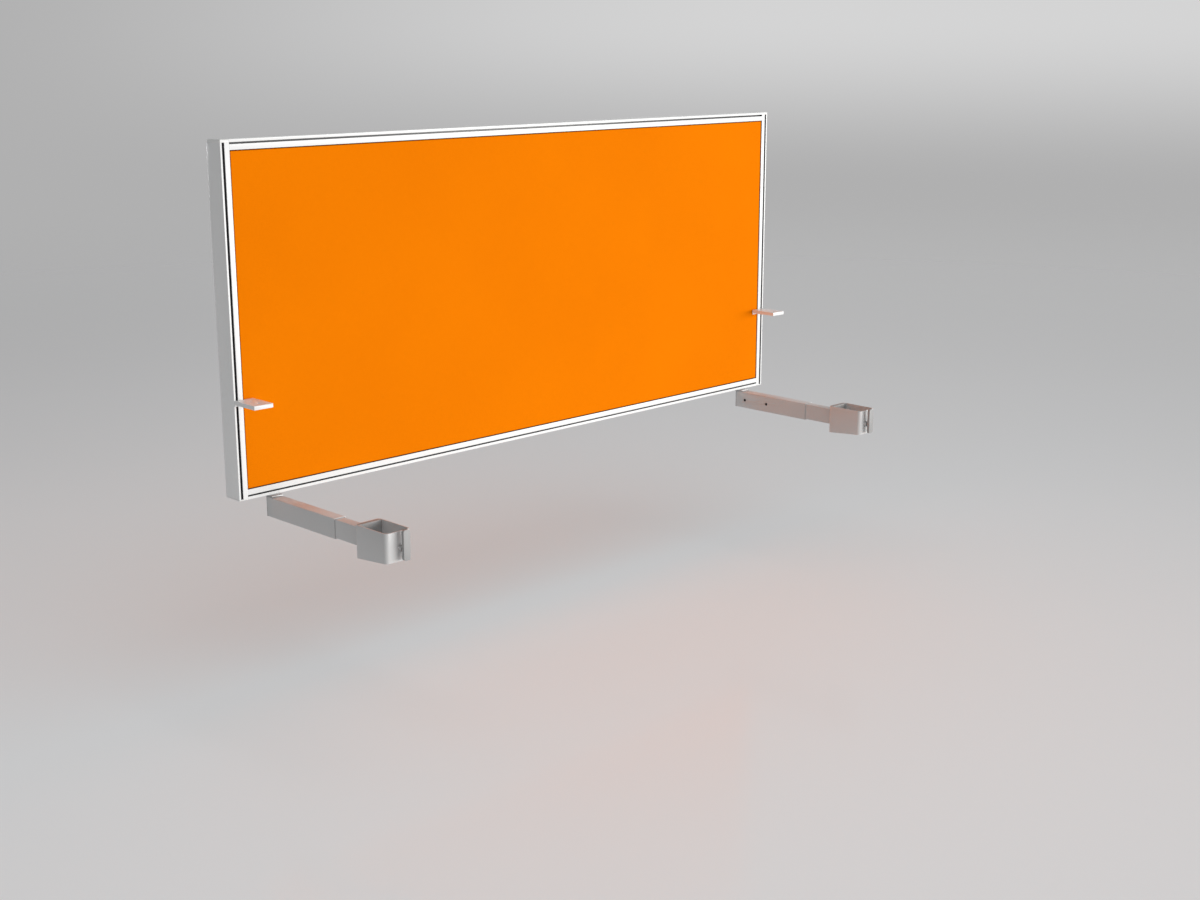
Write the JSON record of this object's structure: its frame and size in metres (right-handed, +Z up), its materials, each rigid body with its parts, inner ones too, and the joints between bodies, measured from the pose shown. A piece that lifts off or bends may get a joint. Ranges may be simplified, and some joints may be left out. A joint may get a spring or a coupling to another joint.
{
  "type": "desk privacy panel",
  "caption": "Fabric-faced desk privacy screen in a slotted aluminium frame, with brackets for the desk top and telescopic arms with collars that clamp the desk legs.",
  "frame": {"origin": "mid-width of the panel, in the plane of its front face, at the height of the desk top's underside (the top faces of the two desk brackets)", "axes": "+X along the panel to the sitter's right, +Y from the sitter through the panel to its back, +Z up"},
  "size_m": [1.8, 0.5229, 0.856],
  "materials": {
    "white_frame": "satin white powder coat on extruded aluminium",
    "white_powder": "satin white powder coat on pressed steel",
    "grey_powder": "light grey satin powder coat on steel tube",
    "white_plastic": "satin white moulded plastic",
    "grey_plastic": "light grey moulded plastic, fine texture",
    "black_plastic": "black nylon",
    "orange_fabric": "plain woven screen fabric, bright orange",
    "board": "light pin board and honeycomb core, unfinished",
    "zinc": "zinc plated steel",
    "black_steel": "black oxide steel",
    "cast_alloy": "cast aluminium, as cast"
  },
  "bodies": {
    "panel": {"top_rail": "white_frame", "bottom_rail": "white_frame", "left_upright": "white_frame", "right_upright": "white_frame", "left_top_cap": "white_plastic", "left_bottom_cap": "white_plastic", "right_top_cap": "white_plastic", "right_bottom_cap": "white_plastic", "left_top_corner_key": "cast_alloy", "left_bottom_corner_key": "cast_alloy", "right_top_corner_key": "cast_alloy", "right_bottom_corner_key": "cast_alloy", "left_saddle_bracket": "cast_alloy", "right_saddle_bracket": "cast_alloy", "core_board": "board", "front_pin_board": "board", "rear_pin_board": "board", "front_fabric": "orange_fabric", "rear_fabric": "orange_fabric", "front_upper_grip_strip": "black_plastic", "front_lower_grip_strip": "black_plastic", "rear_upper_grip_strip": "black_plastic", "rear_lower_grip_strip": "black_plastic", "left_saddle_screw_1": "zinc", "left_saddle_screw_2": "zinc", "right_saddle_screw_1": "zinc", "right_saddle_screw_2": "zinc", "left_lock_nut": "zinc", "right_lock_nut": "zinc", "left_tongue_screw": "black_steel", "right_tongue_screw": "black_steel", "left_lock_screw": "black_steel", "right_lock_screw": "black_steel", "left_outer_tube": "grey_powder", "right_outer_tube": "grey_powder"},
    "left_bracket": {"left_desk_bracket": "white_powder", "left_slot_nut": "zinc", "left_bracket_bolt": "zinc"},
    "left_arm": {"left_inner_tube": "grey_powder", "left_glide_plug": "black_plastic", "left_leg_collar": "grey_powder", "left_rear_packer": "grey_plastic", "left_pressure_pad": "black_plastic", "left_weld_nut": "grey_powder"},
    "left_lever": {"left_clamp_stud": "zinc", "left_clamp_lever": "grey_plastic"},
    "right_bracket": {"right_desk_bracket": "white_powder", "right_slot_nut": "zinc", "right_bracket_bolt": "zinc"},
    "right_arm": {"right_inner_tube": "grey_powder", "right_glide_plug": "black_plastic", "right_leg_collar": "grey_powder", "right_rear_packer": "grey_plastic", "right_pressure_pad": "black_plastic", "right_weld_nut": "grey_powder"},
    "right_lever": {"right_clamp_stud": "zinc", "right_clamp_lever": "grey_plastic"}
  },
  "joints": [
    {"name": "left_bracket_slide", "type": "slide", "parent": "panel", "child": "left_bracket", "axis": [0, 0, 1], "range_m": [-0.21, 0.55]},
    {"name": "left_arm_reach", "type": "slide", "parent": "panel", "child": "left_arm", "axis": [0, -1, 0], "range_m": [-0.012, 0.038]},
    {"name": "left_lever_turn", "type": "hinge", "parent": "left_arm", "child": "left_lever", "pos_m": [-0.803, -0.4629, -0.257], "axis": [0, -1, 0], "range_deg": [0, 180]},
    {"name": "right_bracket_slide", "type": "slide", "parent": "panel", "child": "right_bracket", "axis": [0, 0, 1], "range_m": [-0.21, 0.55]},
    {"name": "right_arm_reach", "type": "slide", "parent": "panel", "child": "right_arm", "axis": [0, -1, 0], "range_m": [-0.012, 0.038]},
    {"name": "right_lever_turn", "type": "hinge", "parent": "right_arm", "child": "right_lever", "pos_m": [0.803, -0.4629, -0.257], "axis": [0, -1, 0], "range_deg": [0, 180]}
  ]
}
